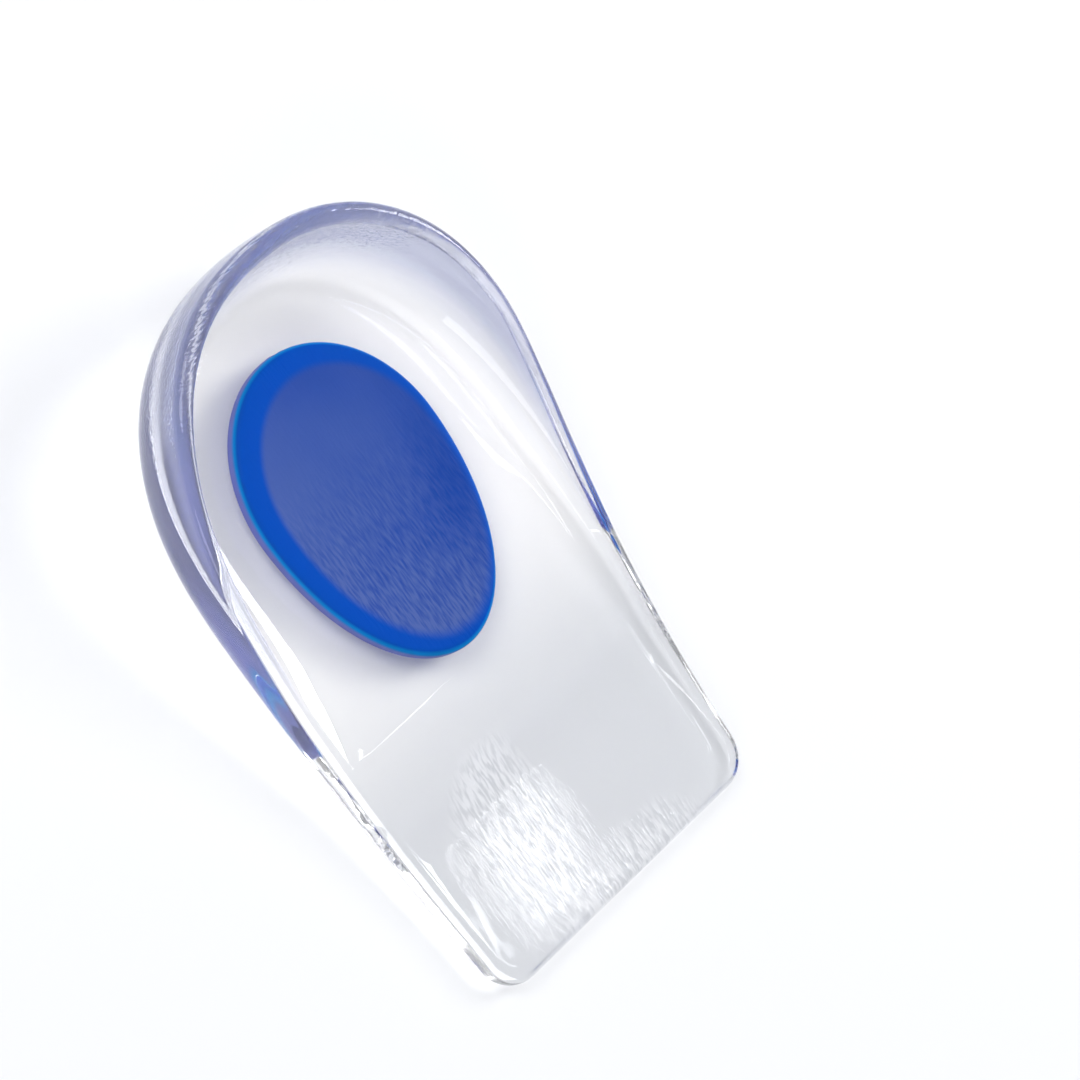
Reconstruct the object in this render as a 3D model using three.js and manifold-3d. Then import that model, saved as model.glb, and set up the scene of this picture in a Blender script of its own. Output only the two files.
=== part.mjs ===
// A gel heel cup: a clear moulded cup that holds the heel, with a softer pad set in its floor.
// Millimetres, +Z up. The flat bottom lies on Z = 0, the thin front edge faces -Y and the heel +Y.
import * as THREE from "three";
import { mergeVertices } from "three/addons/utils/BufferGeometryUtils.js";
import Module from "manifold-3d";

// Driving dimensions of the cup.
const CUP_LENGTH = 104;
const CUP_WIDTH = 65.5;
const HEEL_RIM_HEIGHT = 20;
const HEEL_FLOOR = 6;
const FRONT_THICKNESS = 3.2;
const SIDE_RIM_THICKNESS = 2.4;
const HEEL_RIM_THICKNESS = 3.2;
const FRONT_EDGE_RADIUS = 1.5;
const HEEL_EDGE_INSET = 9;
const HEEL_EDGE_HEIGHT = 14;
const FRONT_CORNER_RADIUS = 5.5;
const INNER_FILLET = 6;

// Driving dimensions of the softer pad and of the pocket that it sits in.
const PAD_LENGTH = 48;
const PAD_WIDTH = 35.5;
const PAD_THICKNESS = 4;
const PAD_HEEL_SHARE = 0.41;
const PAD_WIDEST_Y = 17;
const PAD_EDGE_RADIUS = 0.8;
const PAD_CLEARANCE = 0.3;

// How finely the surfaces are faceted.
const FRONT_STEPS = 6;
const CORNER_STEPS = 5;
const SIDE_STEPS = 18;
const HEEL_STEPS = 18;
const ARC_STEPS = 4;
const EDGE_STEPS = 6;
const WALL_STEPS = 2;
const INNER_STEPS = 7;
const BOTTOM_STEPS = 2;
const FLOOR_STEPS = 6;
const PAD_STEPS = 56;
const PAD_TOP_STEPS = 3;

// The plan, from the front edge to where the heel's arc starts.
// along: share of CUP_LENGTH from the front edge; halfWidth: share of half of CUP_WIDTH.
const PLAN = [
  { along: 0.0, halfWidth: 0.855 },
  { along: 0.17, halfWidth: 0.885 },
  { along: 0.34, halfWidth: 0.93 },
  { along: 0.5, halfWidth: 0.975 },
  { along: 0.66, halfWidth: 1.0 },
];
const HEEL_ARC_POWER = 2.2;

// The rim's S-curve. rise: share of the way from FRONT_THICKNESS to HEEL_RIM_HEIGHT.
const RIM = [
  { along: 0.0, rise: 0.0 },
  { along: 0.15, rise: 0.02 },
  { along: 0.3, rise: 0.1 },
  { along: 0.45, rise: 0.26 },
  { along: 0.6, rise: 0.5 },
  { along: 0.75, rise: 0.77 },
  { along: 0.9, rise: 0.95 },
  { along: 1.0, rise: 1.0 },
];

// The floor's ramp. rise: share of the way from FRONT_THICKNESS to HEEL_FLOOR.
const FLOOR = [
  { along: 0.0, rise: 0.0 },
  { along: 0.21, rise: 0.0 },
  { along: 0.25, rise: 0.12 },
  { along: 0.31, rise: 0.88 },
  { along: 0.35, rise: 1.0 },
  { along: 1.0, rise: 1.0 },
];

const FRONT_Y = -CUP_LENGTH / 2;
const HEEL_Y = CUP_LENGTH / 2;
const HEEL_ARC_Y = FRONT_Y + PLAN.at(-1).along * CUP_LENGTH;
const QUARTER_TURN = Math.PI / 2;
const WELD = 1e-4;

/** Reads a table's column at a share of the length, with a smooth monotone curve between its rows. */
function readTable(table, column, along) {
  const rows = table.length;
  const share = THREE.MathUtils.clamp(along, table[0].along, table.at(-1).along);
  let k = 0;
  while (k < rows - 2 && share > table[k + 1].along) k += 1;
  const slope = (i) =>
    (table[i + 1][column] - table[i][column]) / (table[i + 1].along - table[i].along);
  const tangent = (i) => {
    if (i === 0 || i === rows - 1) return 0;
    const before = slope(i - 1);
    const after = slope(i);
    return before * after > 0 ? (2 * before * after) / (before + after) : 0;
  };
  const span = table[k + 1].along - table[k].along;
  const t = (share - table[k].along) / span;
  const from = table[k][column];
  const to = table[k + 1][column];
  const blend = t * t * (3 - 2 * t);
  const leave = t * (1 - t) * (1 - t) * span * tangent(k);
  const arrive = t * t * (t - 1) * span * tangent(k + 1);
  return from + (to - from) * blend + leave + arrive;
}

const alongOf = (y) => (y - FRONT_Y) / CUP_LENGTH;

const halfWidthAt = (y) => (readTable(PLAN, "halfWidth", alongOf(y)) * CUP_WIDTH) / 2;

const rimHeightAt = (y) =>
  THREE.MathUtils.lerp(FRONT_THICKNESS, HEEL_RIM_HEIGHT, readTable(RIM, "rise", alongOf(y)));

const floorHeightAt = (y) =>
  THREE.MathUtils.lerp(FRONT_THICKNESS, HEEL_FLOOR, readTable(FLOOR, "rise", alongOf(y)));

/** The right half of the plan's outline, from the middle of the front edge to the back of the heel. */
function halfOutline() {
  const points = [];
  const frontHalf = halfWidthAt(FRONT_Y) - FRONT_CORNER_RADIUS;
  for (let i = 0; i < FRONT_STEPS; i += 1) {
    points.push(new THREE.Vector2((frontHalf * i) / FRONT_STEPS, FRONT_Y));
  }
  const cornerY = FRONT_Y + FRONT_CORNER_RADIUS;
  const cornerX = halfWidthAt(cornerY) - FRONT_CORNER_RADIUS;
  for (let i = 0; i < CORNER_STEPS; i += 1) {
    const turn = (QUARTER_TURN * i) / CORNER_STEPS;
    const x = cornerX + FRONT_CORNER_RADIUS * Math.sin(turn);
    points.push(new THREE.Vector2(x, cornerY - FRONT_CORNER_RADIUS * Math.cos(turn)));
  }
  for (let i = 0; i < SIDE_STEPS; i += 1) {
    const y = THREE.MathUtils.lerp(cornerY, HEEL_ARC_Y, i / SIDE_STEPS);
    points.push(new THREE.Vector2(halfWidthAt(y), y));
  }
  const heelHalf = halfWidthAt(HEEL_ARC_Y);
  for (let i = 0; i <= HEEL_STEPS; i += 1) {
    const turn = (QUARTER_TURN * i) / HEEL_STEPS;
    const x = heelHalf * Math.cos(turn) ** (2 / HEEL_ARC_POWER);
    const y = HEEL_ARC_Y + (HEEL_Y - HEEL_ARC_Y) * Math.sin(turn) ** (2 / HEEL_ARC_POWER);
    points.push(new THREE.Vector2(i === HEEL_STEPS ? 0 : x, y));
  }
  return points;
}

/** The whole outline as one loop, anticlockwise seen from above. */
function outlineLoop() {
  const right = halfOutline();
  const left = right.slice(1, -1).map((p) => new THREE.Vector2(-p.x, p.y));
  return [...right, ...left.reverse()];
}

/** The point on the cup's middle line that a point of the outline looks to. */
function spineOf(point) {
  const rampFoot = FRONT_Y + FLOOR[1].along * CUP_LENGTH;
  return new THREE.Vector2(0, THREE.MathUtils.clamp(point.y, rampFoot, HEEL_ARC_Y));
}

/**
 * The cup's section at one point of the outline, from the middle of the bottom, round the wall and its
 * rim, to the middle of the floor. Each entry holds its inset from the outline and its height.
 */
function sectionAt(point) {
  const spine = spineOf(point);
  const reach = point.distanceTo(spine);
  const inward = spine.clone().sub(point).normalize();
  const heelward = THREE.MathUtils.smoothstep(point.y, HEEL_ARC_Y, HEEL_Y);
  const wall = THREE.MathUtils.lerp(SIDE_RIM_THICKNESS, HEEL_RIM_THICKNESS, heelward);
  const rim = rimHeightAt(point.y);
  const round = Math.min(wall, rim) / 2;
  const rise = readTable(RIM, "rise", alongOf(point.y));
  const edge = THREE.MathUtils.lerp(FRONT_EDGE_RADIUS, HEEL_EDGE_INSET, rise);
  const edgeHeight = THREE.MathUtils.lerp(FRONT_EDGE_RADIUS, HEEL_EDGE_HEIGHT, rise);
  const edgeTop = Math.min(edgeHeight, rim - round);
  const foot = wall + INNER_FILLET;
  const footPoint = point.clone().addScaledVector(inward, foot);
  const floor = Math.min(floorHeightAt(footPoint.y), rim);
  const drop = rim - floor;
  const lip = Math.min(round, drop / 2);
  const section = [];
  for (let i = 0; i < BOTTOM_STEPS; i += 1) {
    section.push({ inset: THREE.MathUtils.lerp(reach, edge, i / BOTTOM_STEPS), z: 0 });
  }
  for (let i = 0; i <= EDGE_STEPS; i += 1) {
    const turn = (QUARTER_TURN * i) / EDGE_STEPS;
    section.push({ inset: edge * (1 - Math.sin(turn)), z: edgeTop * (1 - Math.cos(turn)) });
  }
  for (let i = 1; i <= WALL_STEPS; i += 1) {
    section.push({ inset: 0, z: THREE.MathUtils.lerp(edgeTop, rim - round, i / WALL_STEPS) });
  }
  for (let i = 1; i <= ARC_STEPS; i += 1) {
    const turn = (QUARTER_TURN * i) / ARC_STEPS;
    section.push({ inset: round * (1 - Math.cos(turn)), z: rim - round * (1 - Math.sin(turn)) });
  }
  for (let i = 1; i <= ARC_STEPS; i += 1) {
    const turn = (QUARTER_TURN * i) / ARC_STEPS;
    const inset = round + (wall - round) * Math.sin(turn);
    section.push({ inset, z: rim - lip * (1 - Math.cos(turn)) });
  }
  for (let i = 1; i <= INNER_STEPS; i += 1) {
    const turn = (QUARTER_TURN * i) / INNER_STEPS;
    const inset = foot - INNER_FILLET * Math.cos(turn);
    section.push({ inset, z: rim - lip - (drop - lip) * Math.sin(turn) });
  }
  for (let i = 1; i <= FLOOR_STEPS; i += 1) {
    const inset = THREE.MathUtils.lerp(foot, reach, i / FLOOR_STEPS);
    const y = point.y + inward.y * inset;
    section.push({ inset, z: Math.min(floorHeightAt(y), rim) });
  }
  return section.map(({ inset, z }) => {
    const place = point.clone().addScaledVector(inward, inset);
    return new THREE.Vector3(Math.abs(place.x) < WELD ? 0 : place.x, place.y, z);
  });
}

/** Joins rings of points, each as long as the next, into one closed mesh that closes on itself. */
function loft(rings) {
  const positions = [];
  const addTriangle = (a, b, c) => {
    if (a.distanceTo(b) < WELD || b.distanceTo(c) < WELD || c.distanceTo(a) < WELD) return;
    for (const corner of [a, b, c]) positions.push(corner.x, corner.y, corner.z);
  };
  rings.forEach((ring, i) => {
    const next = rings[(i + 1) % rings.length];
    for (let j = 0; j < ring.length - 1; j += 1) {
      addTriangle(ring[j], next[j], next[j + 1]);
      addTriangle(ring[j], next[j + 1], ring[j + 1]);
    }
  });
  const geometry = new THREE.BufferGeometry();
  geometry.setAttribute("position", new THREE.Float32BufferAttribute(positions, 3));
  return mergeVertices(geometry, WELD);
}

/** The pad's outline: a blunt half ellipse toward the heel and a longer one toward the front. */
function padOutline(grow) {
  const heelHalf = PAD_LENGTH * PAD_HEEL_SHARE;
  const frontHalf = PAD_LENGTH - heelHalf;
  const points = [];
  for (let i = 0; i < PAD_STEPS; i += 1) {
    const turn = (2 * Math.PI * i) / PAD_STEPS;
    const half = (Math.cos(turn) > 0 ? heelHalf : frontHalf) + grow;
    const x = -(PAD_WIDTH / 2 + grow) * Math.sin(turn);
    points.push(new THREE.Vector2(x, PAD_WIDEST_Y + half * Math.cos(turn)));
  }
  return points;
}

/** The egg-shaped solid between a bottom height and a top surface, with its top edge rounded off. */
function eggSolid(grow, bottom, topAt, edge) {
  const middle = new THREE.Vector2(0, PAD_WIDEST_Y);
  const rings = padOutline(grow).map((point) => {
    const reach = point.distanceTo(middle);
    const inward = middle.clone().sub(point).normalize();
    const section = [
      { inset: reach, z: bottom },
      { inset: 0, z: bottom },
    ];
    for (let i = 0; i <= ARC_STEPS; i += 1) {
      const turn = (QUARTER_TURN * i) / ARC_STEPS;
      section.push({ inset: edge * (1 - Math.cos(turn)), dip: edge * (1 - Math.sin(turn)) });
    }
    for (let i = 1; i <= PAD_TOP_STEPS; i += 1) {
      section.push({ inset: THREE.MathUtils.lerp(edge, reach, i / PAD_TOP_STEPS), dip: 0 });
    }
    return section.map(({ inset, z, dip }) => {
      const place = point.clone().addScaledVector(inward, inset);
      return new THREE.Vector3(place.x, place.y, z ?? topAt(place.y) - dip);
    });
  });
  return loft(rings);
}

const wasm = await Module();
wasm.setup();

/** Turns a closed geometry into a solid that can be cut. */
function toSolid(geometry) {
  return new wasm.Manifold(
    new wasm.Mesh({
      numProp: 3,
      vertProperties: new Float32Array(geometry.attributes.position.array),
      triVerts: new Uint32Array(geometry.index.array),
    }),
  );
}

/** Turns a solid back into a geometry with flat facets. */
function toGeometry(solid) {
  const mesh = solid.getMesh();
  const geometry = new THREE.BufferGeometry();
  geometry.setAttribute("position", new THREE.BufferAttribute(mesh.vertProperties, 3));
  geometry.setIndex(new THREE.BufferAttribute(mesh.triVerts, 1));
  const flat = geometry.toNonIndexed();
  flat.computeVertexNormals();
  return flat;
}

/** The clear cup, moulded in one piece, with the pocket for the pad cut into its floor. */
function makeCup() {
  const body = toSolid(loft(outlineLoop().map(sectionAt)));
  const pocketBottom = HEEL_FLOOR - PAD_THICKNESS - PAD_CLEARANCE;
  const aboveFloor = () => HEEL_FLOOR + PAD_THICKNESS;
  const pocket = toSolid(eggSolid(PAD_CLEARANCE, pocketBottom, aboveFloor, 0));
  const material = new THREE.MeshStandardMaterial({
    color: 0xdde3e8,
    roughness: 0.18,
    metalness: 0,
    transparent: true,
    opacity: 0.45,
  });
  const cup = new THREE.Mesh(toGeometry(body.subtract(pocket)), material);
  cup.name = "gel_cup";
  return cup;
}

/** The softer blue pad, its top level with the floor round it. */
function makePad() {
  const material = new THREE.MeshStandardMaterial({ color: 0x0f49b4, roughness: 0.3, metalness: 0 });
  const geometry = eggSolid(0, HEEL_FLOOR - PAD_THICKNESS, floorHeightAt, PAD_EDGE_RADIUS);
  const pad = new THREE.Mesh(toGeometry(toSolid(geometry)), material);
  pad.name = "heel_pad";
  return pad;
}

const heelCup = new THREE.Group();
heelCup.name = "heel_cup";
heelCup.add(makeCup(), makePad());

export default heelCup;
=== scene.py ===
"""Looks of a clear gel heel cup with a softer blue pad cast into its floor.

Everything is in metres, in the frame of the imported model: Z up from the surface that the cup rests on,
Y toward the back of the heel, X across.
"""
import logging
import math
from dataclasses import dataclass
from enum import Enum
from typing import Callable

import bmesh
import bpy
from mathutils import Matrix, Vector


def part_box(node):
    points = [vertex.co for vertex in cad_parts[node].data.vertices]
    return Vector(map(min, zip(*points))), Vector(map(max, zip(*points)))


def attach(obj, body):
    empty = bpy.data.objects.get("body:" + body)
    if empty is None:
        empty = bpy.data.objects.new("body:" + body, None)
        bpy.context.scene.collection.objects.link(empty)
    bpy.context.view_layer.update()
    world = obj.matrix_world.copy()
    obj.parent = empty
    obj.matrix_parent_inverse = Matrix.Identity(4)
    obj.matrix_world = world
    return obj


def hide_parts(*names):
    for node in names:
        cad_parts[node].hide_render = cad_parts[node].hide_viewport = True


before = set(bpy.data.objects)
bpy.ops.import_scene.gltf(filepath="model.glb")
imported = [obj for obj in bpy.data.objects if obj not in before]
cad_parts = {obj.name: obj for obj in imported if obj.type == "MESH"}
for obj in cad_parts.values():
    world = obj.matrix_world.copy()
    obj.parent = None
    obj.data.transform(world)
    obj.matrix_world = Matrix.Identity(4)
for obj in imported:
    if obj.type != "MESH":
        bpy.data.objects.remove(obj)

log = logging.getLogger("heel_cup")

Tree = bpy.types.NodeTree
Socket = bpy.types.NodeSocket
Triple = tuple[float, float, float]

MM = 0.001
QUARTER_TURN = math.pi / 2
MERGE_DISTANCE = 0.001 * MM
SHORTEST_EDGE = 0.0005 * MM
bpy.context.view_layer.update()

SMOOTH = {"interpolation_type": "SMOOTHSTEP"}
COLOURS = {"data_type": "RGBA"}

# The numbers of a Mix node's sockets for colours and for plain numbers, because their names repeat
FIRST_COLOUR = 6
SECOND_COLOUR = 7
MIXED_COLOUR = 2
FIRST_NUMBER = 2
SECOND_NUMBER = 3
MIXED_NUMBER = 0


def linear(hex_colour: str) -> tuple[float, float, float, float]:
    """Turns an sRGB hex colour into the linear colour that a shader takes.

    Args:
        hex_colour: Six hex digits after a hash sign.

    Returns:
        Red, green, blue and an alpha of one.
    """
    channels = [int(hex_colour[i:i + 2], 16) / 255 for i in (1, 3, 5)]
    curve = [c / 12.92 if c <= 0.04045 else ((c + 0.055) / 1.055) ** 2.4 for c in channels]
    return (curve[0], curve[1], curve[2], 1.0)


def add_node(tree: Tree, kind: str, settings: dict | None = None,
             inputs: dict | None = None) -> bpy.types.Node:
    """Adds a node to a tree with its settings, its values and its links.

    Args:
        tree: The node tree that gets the node.
        kind: The node's type name.
        settings: Attributes of the node to set.
        inputs: Input sockets by name or number. An output socket is linked, and anything else is a value.

    Returns:
        The new node.
    """
    node = tree.nodes.new(kind)
    for name, value in (settings or {}).items():
        setattr(node, name, value)
    for name, value in (inputs or {}).items():
        if isinstance(value, Socket):
            tree.links.new(value, node.inputs[name])
        else:
            node.inputs[name].default_value = value
    return node


def smooth_table(rows: list[tuple[float, float]], share: float) -> float:
    """Reads a table of shares with a smooth curve that never overshoots its rows.

    Args:
        rows: Places and values, in rising order of place.
        share: The place to read.

    Returns:
        The value there.
    """
    place = min(max(share, rows[0][0]), rows[-1][0])
    last = len(rows) - 1
    k = 0
    while k < last - 1 and place > rows[k + 1][0]:
        k += 1

    def slope(i: int) -> float:
        """The straight slope of one span."""
        return (rows[i + 1][1] - rows[i][1]) / (rows[i + 1][0] - rows[i][0])

    def tangent(i: int) -> float:
        """The slope of the curve at one row, flat at the ends and where the rows turn back."""
        if i in (0, last) or slope(i - 1) * slope(i) <= 0:
            return 0.0
        return 2 * slope(i - 1) * slope(i) / (slope(i - 1) + slope(i))

    span = rows[k + 1][0] - rows[k][0]
    t = (place - rows[k][0]) / span
    rise = (rows[k + 1][1] - rows[k][1]) * t * t * (3 - 2 * t)
    leave = t * (1 - t) ** 2 * span * tangent(k)
    arrive = t * t * (t - 1) * span * tangent(k + 1)
    return rows[k][1] + rise + leave + arrive


def lerp(start: float, end: float, share: float) -> float:
    """The value a share of the way from start to end."""
    return start + (end - start) * share


def loft(name: str, rings: list[list[Vector]]) -> bpy.types.Object:
    """Makes a closed smooth mesh from rings of points, the last of which meets the first.

    Args:
        name: The object's name.
        rings: One list of points for each station round the piece, all of one length.

    Returns:
        The new object, at the origin.
    """
    count = len(rings[0])
    vertices = [point for ring in rings for point in ring]
    faces = []
    for i in range(len(rings)):
        here = i * count
        beyond = (i + 1) % len(rings) * count
        for j in range(count - 1):
            faces.append((here + j, beyond + j, beyond + j + 1, here + j + 1))
    mesh = bpy.data.meshes.new(name)
    mesh.from_pydata(vertices, [], faces)
    piece = bpy.data.objects.new(name, mesh)
    bpy.context.scene.collection.objects.link(piece)
    weld(piece)
    return piece


def weld(piece: bpy.types.Object) -> None:
    """Merges the doubled points of a piece, turns its faces outwards and shades it smooth.

    Args:
        piece: The mesh object to close.
    """
    work = bmesh.new()
    work.from_mesh(piece.data)
    bmesh.ops.remove_doubles(work, verts=work.verts, dist=MERGE_DISTANCE)
    bmesh.ops.dissolve_degenerate(work, edges=work.edges, dist=SHORTEST_EDGE)
    bmesh.ops.recalc_face_normals(work, faces=work.faces)
    work.to_mesh(piece.data)
    work.free()
    piece.data.shade_smooth()


class Grain(Enum):
    """Which way the fine strokes on a cast surface run, as the noise's cell along X, Y and Z.

    The real strokes look about 0.4 mm wide and 2 mm long.
    """

    ALONG = (0.36 * MM, 2.1 * MM, 2.1 * MM)
    ACROSS = (2.4 * MM, 0.42 * MM, 0.42 * MM)


def empty_material(name: str) -> bpy.types.Material:
    """Makes a material whose node tree is empty."""
    material = bpy.data.materials.new(name)
    material.use_nodes = True
    material.node_tree.nodes.clear()
    return material


def end_gel(tree: Tree, gel: bpy.types.Node, shade: str) -> None:
    """Ends a gel's tree, so that lamps light what lies under the gel as they do through the real one.

    Args:
        tree: The node tree.
        gel: The gel's shader.
        shade: The colour that a lamp's light keeps as it passes a face of the gel.
    """
    passing = add_node(tree, "ShaderNodeBsdfTransparent", {}, {"Color": linear(shade)})
    path = add_node(tree, "ShaderNodeLightPath")
    surface = add_node(tree, "ShaderNodeMixShader", {}, {
        0: path.outputs["Is Shadow Ray"], 1: gel.outputs["BSDF"], 2: passing.outputs["BSDF"]})
    add_node(tree, "ShaderNodeOutputMaterial", {}, {"Surface": surface.outputs["Shader"]})


def strokes(tree: Tree, place: Socket, grain: Grain) -> Socket:
    """Adds the short fine strokes that a gel skin shows where it left the mould.

    Args:
        tree: The node tree.
        place: The place on the piece, in metres.
        grain: Which way the strokes run.

    Returns:
        The strokes' height, from zero to one.
    """
    stretched = add_node(tree, "ShaderNodeVectorMath", {"operation": "DIVIDE"}, {0: place, 1: grain.value})
    stroke = add_node(tree, "ShaderNodeTexNoise", {}, {
        "Vector": stretched.outputs["Vector"], "Scale": 1.0, "Detail": 1.0})
    return stroke.outputs["Fac"]


@dataclass(frozen=True)
class Patch:
    """An oval patch of a skin: its middle, how far it reaches along each axis, and where its edge fades.

    The fade is counted in reaches from the middle, with the noise that frays the edge added.
    """

    middle: Triple
    reach: Triple
    solid_to: float = 0.85
    gone_by: float = 1.5

    def share(self, tree: Tree, place: Socket, fray: Socket) -> Socket:
        """Marks the patch in a material.

        Args:
            tree: The node tree.
            place: The place on the piece, in metres.
            fray: A slow noise that moves the patch's edge.

        Returns:
            One in the patch's middle, falling to zero past its edge.
        """
        away = add_node(tree, "ShaderNodeVectorMath", {"operation": "SUBTRACT"}, {
            0: place, 1: self.middle})
        scaled = add_node(tree, "ShaderNodeVectorMath", {"operation": "DIVIDE"}, {
            0: away.outputs["Vector"], 1: self.reach})
        distance = add_node(tree, "ShaderNodeVectorMath", {"operation": "LENGTH"}, {
            0: scaled.outputs["Vector"]})
        frayed = add_node(tree, "ShaderNodeMath", {"operation": "ADD"}, {
            0: distance.outputs["Value"], 1: fray})
        share = add_node(tree, "ShaderNodeMapRange", SMOOTH, {
            "Value": frayed.outputs["Value"], "From Min": self.solid_to, "From Max": self.gone_by,
            "To Min": 1.0, "To Max": 0.0})
        return share.outputs["Result"]


@dataclass(frozen=True)
class ClearGel:
    """Silicone gel cast in a polished mould.

    To the eye it is water clear and glossy. It bends what lies behind it, so its edges show dark and bright
    lines. The front is painted a shade greyer, and the raised wall is faintly cloudy and painted in a
    grey-violet shade, which stands in for shade and the blue pad's light seen through it. The skin swells
    slowly. It keeps fine strokes of the mould in two patches at the front, where white glints are painted as
    a speckled highlight, and on the heel.
    """

    name: str = "clear silicone gel"
    ior: float = 1.41
    roughness: float = 0.03
    shade: str = "#D2D2D2"
    tint: str = "#FBFAF9"
    # Painted shade: a greyer colour for the front, and where it gives way to the clear tint.
    painted_front_shade: str = "#E3E4E6"
    front_shade_y: float = -30 * MM
    clear_y: float = 6 * MM
    # Painted grey-violet shade on the raised wall, and the heights over which it rises; the drop in
    # clearness is the gel's own slight cloudiness.
    painted_wall_shade: str = "#CFD2E3"
    wall_clearness: float = 0.82
    cloud_and_shade_foot: float = 6 * MM
    cloud_and_shade_top: float = 11 * MM
    swell_size: float = 15 * MM
    swell_depth: float = 0.05 * MM
    # Two front patches: real stroke relief, and the place of the painted white glints.
    strokes_and_glare_fan: Patch = Patch((-11.5 * MM, -38 * MM, 3.2 * MM), (13 * MM, 19 * MM, 3 * MM))
    strokes_and_glare_strip: Patch = Patch((0, -50 * MM, 3.2 * MM), (17 * MM, 7 * MM, 2.5 * MM))
    front_stroke_depth: float = 0.012 * MM
    full_relief: float = 0.3
    # The painted glints' white, the greyer gap between them, and the stroke heights where each begins.
    painted_glint: str = "#FFFFFF"
    painted_glint_gap: str = "#D2D4D8"
    glint_gap_level: float = 0.4
    glint_level: float = 0.56
    heel_strokes_y: float = 32 * MM
    heel_stroke_fade: float = 12 * MM
    heel_stroke_depth: float = 0.09 * MM

    def build(self) -> bpy.types.Material:
        """Makes the material.

        Returns:
            The gel, with slow swells, a faintly cloudy wall in a painted grey-violet shade, a painted shade
            at the front, and patches of strokes from its mould with painted white glints.
        """
        material = empty_material(self.name)
        tree = material.node_tree
        place = add_node(tree, "ShaderNodeTexCoord").outputs["Object"]
        spot = add_node(tree, "ShaderNodeSeparateXYZ", {}, {"Vector": place})
        swell = add_node(tree, "ShaderNodeTexNoise", {}, {
            "Vector": place, "Scale": 1 / self.swell_size, "Detail": 1.0}).outputs["Fac"]
        # The two front patches mark the real stroke relief and the painted white glints of the front
        # window's highlight.
        strokes_and_glare = add_node(tree, "ShaderNodeMath", {"operation": "MAXIMUM"}, {
            0: self.strokes_and_glare_fan.share(tree, place, swell), 1: self.strokes_and_glare_strip.share(tree, place, swell)})
        hairs = strokes(tree, place, Grain.ALONG)
        skin = self.skin_colour(tree, spot.outputs["Y"], strokes_and_glare.outputs["Value"], hairs)
        # The gel grows faintly cloudy up the wall, and its colour there is a painted grey-violet shade,
        # standing in for shade and the blue pad seen through the wall.
        cloud_and_shade = add_node(tree, "ShaderNodeMapRange", SMOOTH, {
            "Value": spot.outputs["Z"], "From Min": self.cloud_and_shade_foot, "From Max": self.cloud_and_shade_top})
        colour = add_node(tree, "ShaderNodeMix", COLOURS, {
            "Factor": cloud_and_shade.outputs["Result"], FIRST_COLOUR: skin, SECOND_COLOUR: linear(self.painted_wall_shade)})
        clearness = add_node(tree, "ShaderNodeMapRange", {}, {
            "Value": cloud_and_shade.outputs["Result"], "To Min": 1.0, "To Max": self.wall_clearness})
        swollen = add_node(tree, "ShaderNodeBump", {}, {
            "Strength": 1.0, "Distance": self.swell_depth, "Height": swell})
        relief = add_node(tree, "ShaderNodeMapRange", {}, {
            "Value": strokes_and_glare.outputs["Value"], "From Max": self.full_relief})
        front = add_node(tree, "ShaderNodeBump", {}, {
            "Strength": relief.outputs["Result"], "Distance": self.front_stroke_depth, "Height": hairs,
            "Normal": swollen.outputs["Normal"]})
        heelward = add_node(tree, "ShaderNodeMapRange", SMOOTH, {
            "Value": spot.outputs["Y"], "From Min": self.heel_strokes_y,
            "From Max": self.heel_strokes_y + self.heel_stroke_fade})
        heel = add_node(tree, "ShaderNodeBump", {}, {
            "Strength": heelward.outputs["Result"], "Distance": self.heel_stroke_depth,
            "Height": strokes(tree, place, Grain.ACROSS), "Normal": front.outputs["Normal"]})
        gel = add_node(tree, "ShaderNodeBsdfPrincipled", {}, {
            "Base Color": colour.outputs[MIXED_COLOUR], "Roughness": self.roughness, "IOR": self.ior,
            "Transmission Weight": clearness.outputs["Result"], "Normal": heel.outputs["Normal"]})
        end_gel(tree, gel, self.shade)
        return material

    def skin_colour(self, tree: Tree, ahead: Socket, strokes_and_glare: Socket, hairs: Socket) -> Socket:
        """Colours the gel below its raised wall.

        Args:
            tree: The node tree.
            ahead: The place along the cup, in metres.
            strokes_and_glare: The share of the stroked patches, where the painted glints go.
            hairs: The height of the fine strokes.

        Returns:
            Clear gel at the heel, a painted shade at the front, and painted white glints along the strokes
            in the stroked patches.
        """
        # Painted shade: the front is coloured greyer than the clear heel.
        heelward = add_node(tree, "ShaderNodeMapRange", SMOOTH, {
            "Value": ahead, "From Min": self.front_shade_y, "From Max": self.clear_y})
        front_shaded = add_node(tree, "ShaderNodeMix", COLOURS, {
            "Factor": heelward.outputs["Result"], FIRST_COLOUR: linear(self.painted_front_shade),
            SECOND_COLOUR: linear(self.tint)})
        # Painted highlight: white along the strokes over a greyer gap, a speckled glint of the front window.
        glint_lines = add_node(tree, "ShaderNodeMapRange", {}, {
            "Value": hairs, "From Min": self.glint_gap_level, "From Max": self.glint_level})
        glinting = add_node(tree, "ShaderNodeMix", COLOURS, {
            "Factor": glint_lines.outputs["Result"], FIRST_COLOUR: linear(self.painted_glint_gap),
            SECOND_COLOUR: linear(self.painted_glint)})
        skin = add_node(tree, "ShaderNodeMix", COLOURS, {
            "Factor": strokes_and_glare, FIRST_COLOUR: front_shaded.outputs[MIXED_COLOUR],
            SECOND_COLOUR: glinting.outputs[MIXED_COLOUR]})
        return skin.outputs[MIXED_COLOUR]


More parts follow.
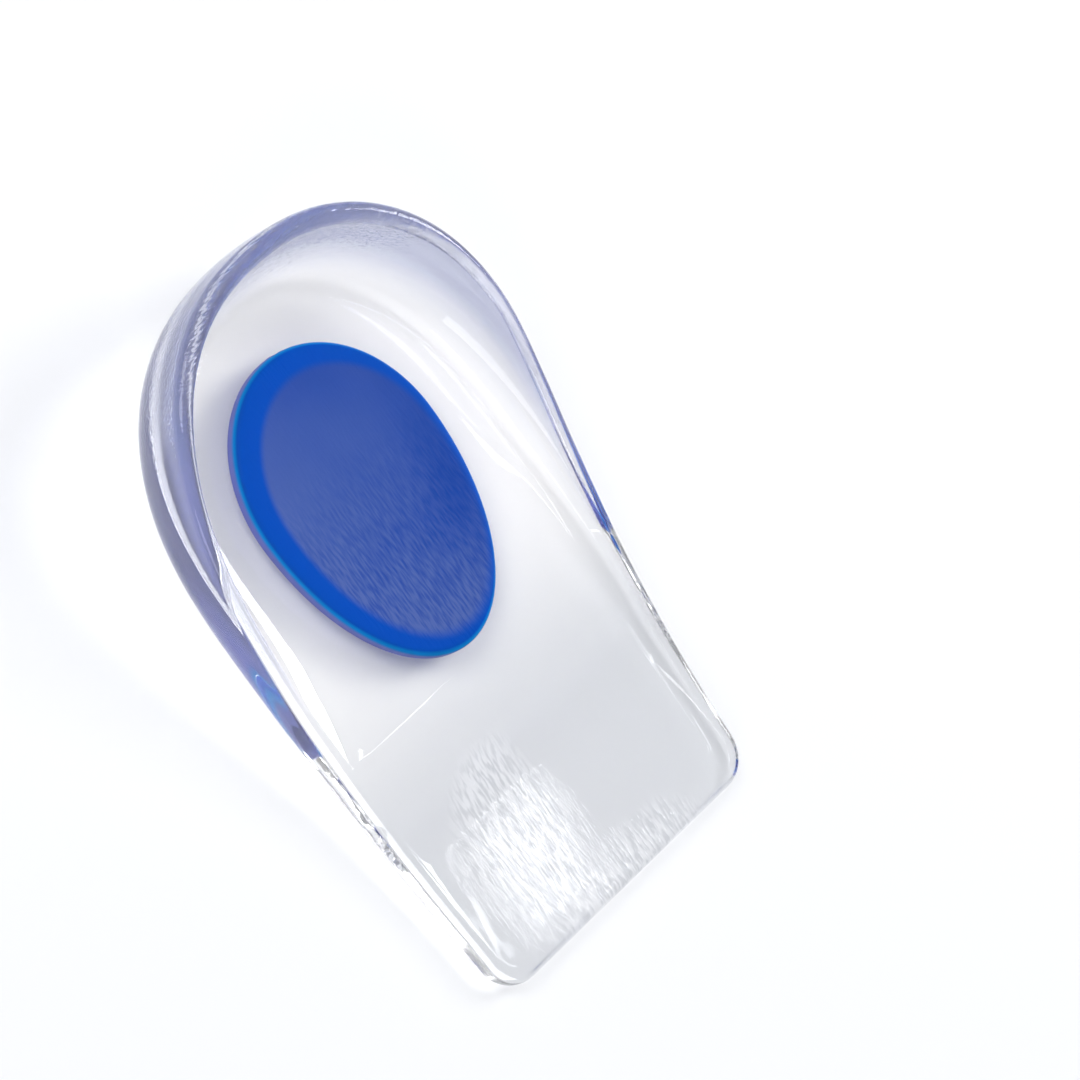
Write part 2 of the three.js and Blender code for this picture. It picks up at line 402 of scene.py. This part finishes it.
@dataclass(frozen=True)
class BlueGel:
    """Soft silicone gel dyed royal blue and cast into the clear gel.

    A thin azure outline and a purer blue border are painted as a glow, standing in for light gathered in its
    edge. A painted reflection, a pale veil, lies over the middle, with fine strokes in its front half. The
    sides are painted a paler violet, standing in for light that reaches them through the clear gel. The
    two gels meet with no air between them, so the index is a small step, as from one gel to the other.
    """

    name: str = "dyed blue silicone gel"
    ior: float = 1.1
    roughness: float = 0.35
    shade: str = "#A9AFC4"
    deep: str = "#083F9A"
    # The colour of a painted reflection: a pale veil over the middle.
    painted_reflection: str = "#546AAA"
    # Colours of a painted glow at the edge: a purer border and a thin azure outline.
    border: str = "#084EB4"
    outline: str = "#0F86D2"
    # A painted lighter violet for the sides, standing in for light reaching them through the clear gel.
    painted_lit_side: str = "#7079C8"
    lit_side_depth: float = 1.5 * MM
    edge_lean: Triple = (-0.08, -0.08, 0.0)
    border_from: float = 0.8
    border_full: float = 0.88
    outline_from: float = 0.97
    outline_full: float = 0.992
    reflection_patch_size: float = 30 * MM
    reflection_lean: Triple = (-0.32, 0.25, 0.0)
    reflection_from: float = 0.06
    reflection_full: float = 0.82
    strokes_from: float = -0.3
    strokes_full: float = 0.5
    plain_reflection: float = 0.95
    thin_reflection: float = 0.5
    thick_reflection: float = 1.3
    stroke_low: float = 0.3
    stroke_high: float = 0.7
    stroke_depth: float = 0.03 * MM

    def build(self, pad: "HeelPad") -> bpy.types.Material:
        """Makes the material.

        Args:
            pad: The pad, which gives the egg that the edge's colours follow.

        Returns:
            The blue gel, with a painted azure glow at its edge, painted paler violet sides and a painted
            reflection over its finely stroked middle.
        """
        material = empty_material(self.name)
        tree = material.node_tree
        place = add_node(tree, "ShaderNodeTexCoord").outputs["Object"]
        spot = add_node(tree, "ShaderNodeSeparateXYZ", {}, {"Vector": place})
        hairs = strokes(tree, place, Grain.ALONG)
        top = self.top_colour(tree, place, spot, hairs, pad)
        # Painted light: below the top the sides turn a paler violet, standing in for light that reaches them
        # through the clear gel.
        below = add_node(tree, "ShaderNodeMapRange", {}, {
            "Value": spot.outputs["Z"], "From Min": pad.top - self.lit_side_depth,
            "From Max": pad.top - self.lit_side_depth / 2, "To Min": 1.0, "To Max": 0.0})
        colour = add_node(tree, "ShaderNodeMix", COLOURS, {
            "Factor": below.outputs["Result"], FIRST_COLOUR: top, SECOND_COLOUR: linear(self.painted_lit_side)})
        bump = add_node(tree, "ShaderNodeBump", {}, {
            "Strength": 1.0, "Distance": self.stroke_depth, "Height": hairs})
        gel = add_node(tree, "ShaderNodeBsdfPrincipled", {}, {
            "Base Color": colour.outputs[MIXED_COLOUR], "Roughness": self.roughness, "IOR": self.ior,
            "Normal": bump.outputs["Normal"]})
        end_gel(tree, gel, self.shade)
        return material

    def top_colour(self, tree: Tree, place: Socket, spot: bpy.types.Node, hairs: Socket,
                   pad: "HeelPad") -> Socket:
        """Colours the pad's top in rings that follow its egg.

        Args:
            tree: The node tree.
            place: The place on the piece, in metres.
            spot: The node that splits the place into its coordinates.
            hairs: The height of the fine strokes.
            pad: The pad, which gives the egg.

        Returns:
            A painted reflection over the middle, and a purer border and a thin azure outline that are both
            painted as a glow.
        """
        across = add_node(tree, "ShaderNodeMath", {"operation": "DIVIDE"}, {
            0: spot.outputs["X"], 1: pad.half_width})
        ahead = add_node(tree, "ShaderNodeMath", {"operation": "SUBTRACT"}, {
            0: spot.outputs["Y"], 1: pad.widest_y})
        heelward = add_node(tree, "ShaderNodeMath", {"operation": "DIVIDE"}, {
            0: ahead.outputs["Value"], 1: pad.heel_half})
        frontward = add_node(tree, "ShaderNodeMath", {"operation": "DIVIDE"}, {
            0: ahead.outputs["Value"], 1: -pad.front_half})
        along = add_node(tree, "ShaderNodeMath", {"operation": "MAXIMUM"}, {
            0: heelward.outputs["Value"], 1: frontward.outputs["Value"]})
        egg = add_node(tree, "ShaderNodeCombineXYZ", {}, {
            "X": across.outputs["Value"], "Y": along.outputs["Value"]})
        reach = add_node(tree, "ShaderNodeVectorMath", {"operation": "LENGTH"}, {0: egg.outputs["Vector"]})
        level = add_node(tree, "ShaderNodeCombineXYZ", {}, {
            "X": across.outputs["Value"], "Y": frontward.outputs["Value"]})
        # Painted glow: a purer blue border and a thin azure outline near the egg's edge, standing in for
        # light gathered there.
        edge_lean = add_node(tree, "ShaderNodeVectorMath", {"operation": "DOT_PRODUCT"}, {
            0: level.outputs["Vector"], 1: self.edge_lean})
        leaning_reach = add_node(tree, "ShaderNodeMath", {"operation": "ADD"}, {
            0: reach.outputs["Value"], 1: edge_lean.outputs["Value"]})
        near_edge = add_node(tree, "ShaderNodeMapRange", SMOOTH, {
            "Value": leaning_reach.outputs["Value"], "From Min": self.border_from,
            "From Max": self.border_full})
        at_edge = add_node(tree, "ShaderNodeMapRange", SMOOTH, {
            "Value": reach.outputs["Value"], "From Min": self.outline_from, "From Max": self.outline_full})
        # Painted reflection: a pale veil over the middle, leaning one way and broken up by the strokes in
        # the front half.
        reflection_noise = add_node(tree, "ShaderNodeTexNoise", {}, {"Vector": place, "Scale": 1 / self.reflection_patch_size})
        reflection_lean = add_node(tree, "ShaderNodeVectorMath", {"operation": "DOT_PRODUCT"}, {
            0: level.outputs["Vector"], 1: self.reflection_lean})
        leaning_reflection = add_node(tree, "ShaderNodeMath", {"operation": "ADD"}, {
            0: reflection_noise.outputs["Fac"], 1: reflection_lean.outputs["Value"]})
        reflection_spread = add_node(tree, "ShaderNodeMapRange", {}, {
            "Value": leaning_reflection.outputs["Value"], "From Min": self.reflection_from, "From Max": self.reflection_full})
        streaked = add_node(tree, "ShaderNodeMapRange", {}, {
            "Value": hairs, "From Min": self.stroke_low, "From Max": self.stroke_high,
            "To Min": self.thin_reflection, "To Max": self.thick_reflection})
        frontness = add_node(tree, "ShaderNodeMapRange", SMOOTH, {
            "Value": frontward.outputs["Value"], "From Min": self.strokes_from,
            "From Max": self.strokes_full})
        thinned = add_node(tree, "ShaderNodeMix", {}, {
            "Factor": frontness.outputs["Result"], FIRST_NUMBER: self.plain_reflection,
            SECOND_NUMBER: streaked.outputs["Result"]})
        veil = add_node(tree, "ShaderNodeMath", {"operation": "MULTIPLY"}, {
            0: reflection_spread.outputs["Result"], 1: thinned.outputs[MIXED_NUMBER]})
        veiled = add_node(tree, "ShaderNodeMix", COLOURS, {
            "Factor": veil.outputs["Value"], FIRST_COLOUR: linear(self.deep),
            SECOND_COLOUR: linear(self.painted_reflection)})
        bordered = add_node(tree, "ShaderNodeMix", COLOURS, {
            "Factor": near_edge.outputs["Result"], FIRST_COLOUR: veiled.outputs[MIXED_COLOUR],
            SECOND_COLOUR: linear(self.border)})
        outlined = add_node(tree, "ShaderNodeMix", COLOURS, {
            "Factor": at_edge.outputs["Result"], FIRST_COLOUR: bordered.outputs[MIXED_COLOUR],
            SECOND_COLOUR: linear(self.outline)})
        return outlined.outputs[MIXED_COLOUR]


@dataclass
class GelCup:
    """The clear cup: flat underside, rounded lower edge, S-curved rim, thick heel floor and thin front."""

    front_thickness: float = 3.2 * MM
    heel_floor: float = 6 * MM
    side_rim: float = 2.4 * MM
    heel_rim: float = 3.2 * MM
    front_edge_radius: float = 1.5 * MM
    heel_edge_inset: float = 9 * MM
    heel_edge_height: float = 14 * MM
    corner_radius: float = 5.5 * MM
    inner_fillet: float = 6 * MM
    arc_power: float = 2.2
    outline_steps: int = 90
    arc_steps: int = 10
    flat_steps: int = 6

    def __post_init__(self) -> None:
        """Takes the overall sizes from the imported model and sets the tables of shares."""
        low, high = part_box("gel_cup")
        self.front_y = low[1]
        self.heel_y = high[1]
        self.length = high[1] - low[1]
        self.half_width = high[0]
        self.heel_height = high[2]
        self.plan = [(0.0, 0.855), (0.17, 0.885), (0.34, 0.93), (0.5, 0.975), (0.66, 1.0)]
        self.rim = [(0.0, 0.0), (0.15, 0.02), (0.3, 0.1), (0.45, 0.26), (0.6, 0.5), (0.75, 0.77),
                    (0.9, 0.95), (1.0, 1.0)]
        self.floor = [(0.0, 0.0), (0.2, 0.0), (0.25, 0.13), (0.31, 0.8), (0.36, 0.97), (0.42, 1.0),
                      (1.0, 1.0)]
        self.arc_y = self.front_y + self.plan[-1][0] * self.length

    def share(self, y: float) -> float:
        """The share of the length between the front edge and a place."""
        return (y - self.front_y) / self.length

    def half_width_at(self, y: float) -> float:
        """Half of the cup's width at a place ahead of the heel's arc."""
        return smooth_table(self.plan, self.share(y)) * self.half_width

    def rim_height_at(self, y: float) -> float:
        """The rim's height at a place."""
        return lerp(self.front_thickness, self.heel_height, smooth_table(self.rim, self.share(y)))

    def floor_height_at(self, y: float) -> float:
        """The height of the floor's top at a place."""
        return lerp(self.front_thickness, self.heel_floor, smooth_table(self.floor, self.share(y)))

    def half_outline(self) -> list[Vector]:
        """The right half of the plan, from the middle of the front edge to the back of the heel.

        Returns:
            The points, at zero height.
        """
        points = []
        steps = self.outline_steps
        front_steps = steps // 3
        corner_steps = steps // 5
        edge = self.half_width_at(self.front_y) - self.corner_radius
        for i in range(front_steps):
            points.append(Vector((edge * i / front_steps, self.front_y, 0)))
        corner_y = self.front_y + self.corner_radius
        corner_x = self.half_width_at(corner_y) - self.corner_radius
        for i in range(corner_steps):
            turn = QUARTER_TURN * i / corner_steps
            x = corner_x + self.corner_radius * math.sin(turn)
            points.append(Vector((x, corner_y - self.corner_radius * math.cos(turn), 0)))
        for i in range(steps):
            y = lerp(corner_y, self.arc_y, i / steps)
            points.append(Vector((self.half_width_at(y), y, 0)))
        arc_half = self.half_width_at(self.arc_y)
        for i in range(steps):
            turn = QUARTER_TURN * i / steps
            x = arc_half * math.cos(turn) ** (2 / self.arc_power)
            y = self.arc_y + (self.heel_y - self.arc_y) * math.sin(turn) ** (2 / self.arc_power)
            points.append(Vector((x, y, 0)))
        points.append(Vector((0, self.heel_y, 0)))
        return points

    def section_at(self, point: Vector) -> list[Vector]:
        """The cup's section at one point of its outline.

        Args:
            point: The point of the outline.

        Returns:
            Points from the middle of the underside, round the wall, to the middle of the floor.
        """
        arc = self.arc_steps
        flat = self.flat_steps
        ramp_foot = self.front_y + self.floor[1][0] * self.length
        spine = Vector((0, min(max(point.y, ramp_foot), self.arc_y), 0))
        reach = (spine - point).length
        inward = (spine - point).normalized()
        heelward = min(max((point.y - self.arc_y) / (self.heel_y - self.arc_y), 0), 1)
        wall = lerp(self.side_rim, self.heel_rim, heelward * heelward * (3 - 2 * heelward))
        rim = self.rim_height_at(point.y)
        crest = min(wall, rim) / 2
        rise = smooth_table(self.rim, self.share(point.y))
        edge = lerp(self.front_edge_radius, self.heel_edge_inset, rise)
        edge_top = min(lerp(self.front_edge_radius, self.heel_edge_height, rise), rim - crest)
        foot = wall + self.inner_fillet
        floor = min(self.floor_height_at((point + inward * foot).y), rim)
        drop = rim - floor
        lip = min(crest, drop / 2)
        turns = [QUARTER_TURN * i / arc for i in range(1, arc + 1)]
        # The underside, its rounded edge, the outer wall, the rim's two sides, the fillet and the floor
        section = [(lerp(reach, edge, i / flat), 0.0) for i in range(flat + 1)]
        section += [(edge * (1 - math.sin(t)), edge_top * (1 - math.cos(t))) for t in turns]
        section += [(0.0, lerp(edge_top, rim - crest, i / flat)) for i in range(1, flat + 1)]
        section += [(crest * (1 - math.cos(t)), rim - crest * (1 - math.sin(t))) for t in turns]
        section += [(crest + (wall - crest) * math.sin(t), rim - lip * (1 - math.cos(t))) for t in turns]
        section += [(foot - self.inner_fillet * math.cos(t), rim - lip - (drop - lip) * math.sin(t))
                    for t in turns]
        for i in range(1, 3 * flat + 1):
            inset = lerp(foot, reach, i / (3 * flat))
            section.append((inset, min(self.floor_height_at((point + inward * inset).y), rim)))
        return [point + inward * inset + Vector((0, 0, z)) for inset, z in section]

    def build(self) -> bpy.types.Object:
        """Makes the cup's fine surface.

        Returns:
            The cup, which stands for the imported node.
        """
        right = self.half_outline()
        left = [Vector((-p.x, p.y, 0)) for p in reversed(right[1:-1])]
        piece = loft("clear_gel_cup", [self.section_at(p) for p in right + left])
        piece.data.materials.append(ClearGel().build())
        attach(piece, "root")
        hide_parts("gel_cup")
        return piece


@dataclass
class HeelPad:
    """The egg-shaped softer pad, cast into the cup's floor just under its surface."""

    heel_share: float = 0.41
    cover: float = 0.15 * MM
    edge_radius: float = 1.2 * MM
    stations: int = 160
    arc_steps: int = 8
    bottom_steps: int = 6
    top_steps: int = 12

    def __post_init__(self) -> None:
        """Takes the pad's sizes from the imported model."""
        low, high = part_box("heel_pad")
        self.bottom = low[2]
        self.top = high[2]
        self.half_width = high[0]
        self.length = high[1] - low[1]
        self.heel_half = self.length * self.heel_share
        self.front_half = self.length - self.heel_half
        self.widest_y = high[1] - self.heel_half

    def section_at(self, turn: float, height_at: Callable[[float], float]) -> list[Vector]:
        """The pad's section at one turn round its middle.

        Args:
            turn: The angle round the pad, from its heel end.
            height_at: Gives the height of the cup's floor at a place along the cup.

        Returns:
            Points from the middle of the underside to the middle of the top.
        """
        middle = Vector((0, self.widest_y, 0))
        half = self.heel_half if math.cos(turn) > 0 else self.front_half
        outer = middle + Vector((-self.half_width * math.sin(turn), half * math.cos(turn), 0))
        radius = self.edge_radius
        reach = (outer - middle).length
        inward = (middle - outer).normalized()
        turns = [QUARTER_TURN * i / self.arc_steps for i in range(self.arc_steps + 1)]
        # Each point's inset, its height, and its dip under the floor's top where no height is given
        places = [(lerp(reach, radius, i / self.bottom_steps), self.bottom, 0.0)
                  for i in range(self.bottom_steps + 1)]
        places += [(radius * (1 - math.sin(t)), self.bottom + radius * (1 - math.cos(t)), 0.0)
                   for t in turns[1:]]
        places += [(radius * (1 - math.cos(t)), None, radius * (1 - math.sin(t))) for t in turns]
        places += [(lerp(radius, reach, i / self.top_steps), None, 0.0)
                   for i in range(1, self.top_steps + 1)]
        section = []
        for inset, height, dip in places:
            spot = outer + inward * inset
            z = height if height is not None else height_at(spot.y) - self.cover - dip
            section.append(Vector((spot.x, spot.y, z)))
        return section

    def build(self, height_at: Callable[[float], float]) -> bpy.types.Object:
        """Makes the pad.

        Args:
            height_at: Gives the height of the cup's floor at a place along the cup.

        Returns:
            The pad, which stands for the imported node.
        """
        turns = [2 * math.pi * i / self.stations for i in range(self.stations)]
        piece = loft("blue_gel_pad", [self.section_at(turn, height_at) for turn in turns])
        piece.data.materials.append(BlueGel().build(self))
        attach(piece, "root")
        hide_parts("heel_pad")
        return piece


@dataclass(frozen=True)
class Softbox:
    """A soft lamp: where it hangs in metres, its width and height, and its power in watts."""

    name: str
    place: Triple
    size: tuple[float, float]
    power: float


@dataclass(frozen=True)
class Studio:
    """A plain pale floor, soft white light from above and a long lens turned as the picture is.

    Angles are in degrees, the lens and its sensor in millimetres, and lengths in metres. The front window
    hangs where the cup's front pad mirrors it, so that its fine strokes show.
    """

    azimuth: float = -104.5
    elevation: float = 53.8
    roll: float = -65.6
    distance: float = 0.82
    aim: Triple = (0.0174, -0.0067, 0.008)
    lens: float = 197.3
    sensor: float = 36.0
    nearest: float = 0.01
    paper: str = "#F4F5F7"
    paper_roughness: float = 0.9
    floor_half: float = 3.0
    floor_drop: float = 0.2 * MM
    tent: str = "#9A9B9E"
    beyond: str = "#1C1D20"
    opening: Triple = (0.572, -0.148, 0.807)
    opening_half: float = 12.0
    opening_fade: float = 24.0
    bounces: int = 16
    softboxes: tuple[Softbox, ...] = (
        Softbox("key", (0.96, -0.14, 0.67), (0.4, 0.5), 9.5),
        Softbox("top", (-0.4, 0.7, 0.95), (0.6, 0.6), 7.0),
        Softbox("fill", (-0.9, -0.3, 0.6), (0.5, 0.4), 2.5),
        Softbox("front window", (0.45, -0.205, 0.7), (0.04, 0.012), 0.014),
    )

    def camera(self) -> bpy.types.Object:
        """Places the camera at the picture's viewing angle.

        Returns:
            The camera.
        """
        a = math.radians(self.azimuth)
        e = math.radians(self.elevation)
        r = math.radians(self.roll)
        back = Vector((math.sin(a) * math.cos(e), -math.cos(a) * math.cos(e), math.sin(e)))
        level = Vector((math.cos(a), math.sin(a), 0))
        above = back.cross(level)
        right = level * math.cos(r) - above * math.sin(r)
        up = level * math.sin(r) + above * math.cos(r)
        turn = Matrix((right, up, back)).transposed().to_4x4()
        data = bpy.data.cameras.new("camera")
        data.lens = self.lens
        data.sensor_width = self.sensor
        data.clip_start = self.nearest
        camera = bpy.data.objects.new("camera", data)
        camera.matrix_world = Matrix.Translation(Vector(self.aim) + back * self.distance) @ turn
        bpy.context.scene.collection.objects.link(camera)
        bpy.context.scene.camera = camera
        return camera

    def floor(self) -> bpy.types.Object:
        """Lays the pale floor.

        Returns:
            The floor, which is not part of the object.
        """
        half = self.floor_half
        corners = [(-half, -half, 0), (half, -half, 0), (half, half, 0), (-half, half, 0)]
        mesh = bpy.data.meshes.new("floor")
        mesh.from_pydata(corners, [], [(0, 1, 2, 3)])
        floor = bpy.data.objects.new("floor", mesh)
        floor.location.z = -self.floor_drop
        material = bpy.data.materials.new("white paper floor")
        material.use_nodes = True
        shader = material.node_tree.nodes["Principled BSDF"]
        shader.inputs["Base Color"].default_value = linear(self.paper)
        shader.inputs["Roughness"].default_value = self.paper_roughness
        mesh.materials.append(material)
        bpy.context.scene.collection.objects.link(floor)
        return floor

    def hang(self, softbox: Softbox) -> bpy.types.Object:
        """Hangs a soft light that looks at the cup.

        Args:
            softbox: The light's name, place, size and power.

        Returns:
            The light.
        """
        data = bpy.data.lights.new(softbox.name, "AREA")
        data.shape = "RECTANGLE"
        data.size, data.size_y = softbox.size
        data.energy = softbox.power
        light = bpy.data.objects.new(softbox.name, data)
        light.location = softbox.place
        light.rotation_euler = (-light.location).to_track_quat("-Z", "Y").to_euler()
        bpy.context.scene.collection.objects.link(light)
        return light

    def surround(self) -> None:
        """Puts a grey tent round the cup, with a dark opening that its level faces mirror."""
        world = bpy.data.worlds.new("white tent")
        bpy.context.scene.world = world
        world.use_nodes = True
        tree = world.node_tree
        tree.nodes.clear()
        direction = add_node(tree, "ShaderNodeTexCoord").outputs["Generated"]
        toward = add_node(tree, "ShaderNodeVectorMath", {"operation": "DOT_PRODUCT"}, {
            0: direction, 1: self.opening})
        share = add_node(tree, "ShaderNodeMapRange", SMOOTH, {
            "Value": toward.outputs["Value"], "From Min": math.cos(math.radians(self.opening_fade)),
            "From Max": math.cos(math.radians(self.opening_half))})
        shade = add_node(tree, "ShaderNodeMix", COLOURS, {
            "Factor": share.outputs["Result"], FIRST_COLOUR: linear(self.tent),
            SECOND_COLOUR: linear(self.beyond)})
        light = add_node(tree, "ShaderNodeBackground", {}, {
            "Color": shade.outputs[MIXED_COLOUR], "Strength": 1.0})
        add_node(tree, "ShaderNodeOutputWorld", {}, {"Surface": light.outputs["Background"]})

    def light(self) -> None:
        """Lights the set, and lets light pass the gel's many faces before it is dropped."""
        self.surround()
        for softbox in self.softboxes:
            self.hang(softbox)
        scene = bpy.context.scene
        scene.view_settings.view_transform = "Standard"
        scene.cycles.max_bounces = self.bounces
        scene.cycles.transmission_bounces = self.bounces
        scene.cycles.glossy_bounces = self.bounces


def main() -> None:
    """Builds the studio, the cup and the pad."""
    logging.basicConfig(level=logging.INFO)
    studio = Studio()
    studio.camera()
    studio.floor()
    studio.light()
    cup = GelCup()
    body = cup.build()
    log.info("%s has %d faces", body.name, len(body.data.polygons))
    pad = HeelPad().build(cup.floor_height_at)
    log.info("%s has %d faces", pad.name, len(pad.data.polygons))


if __name__ == "__main__":
    main()
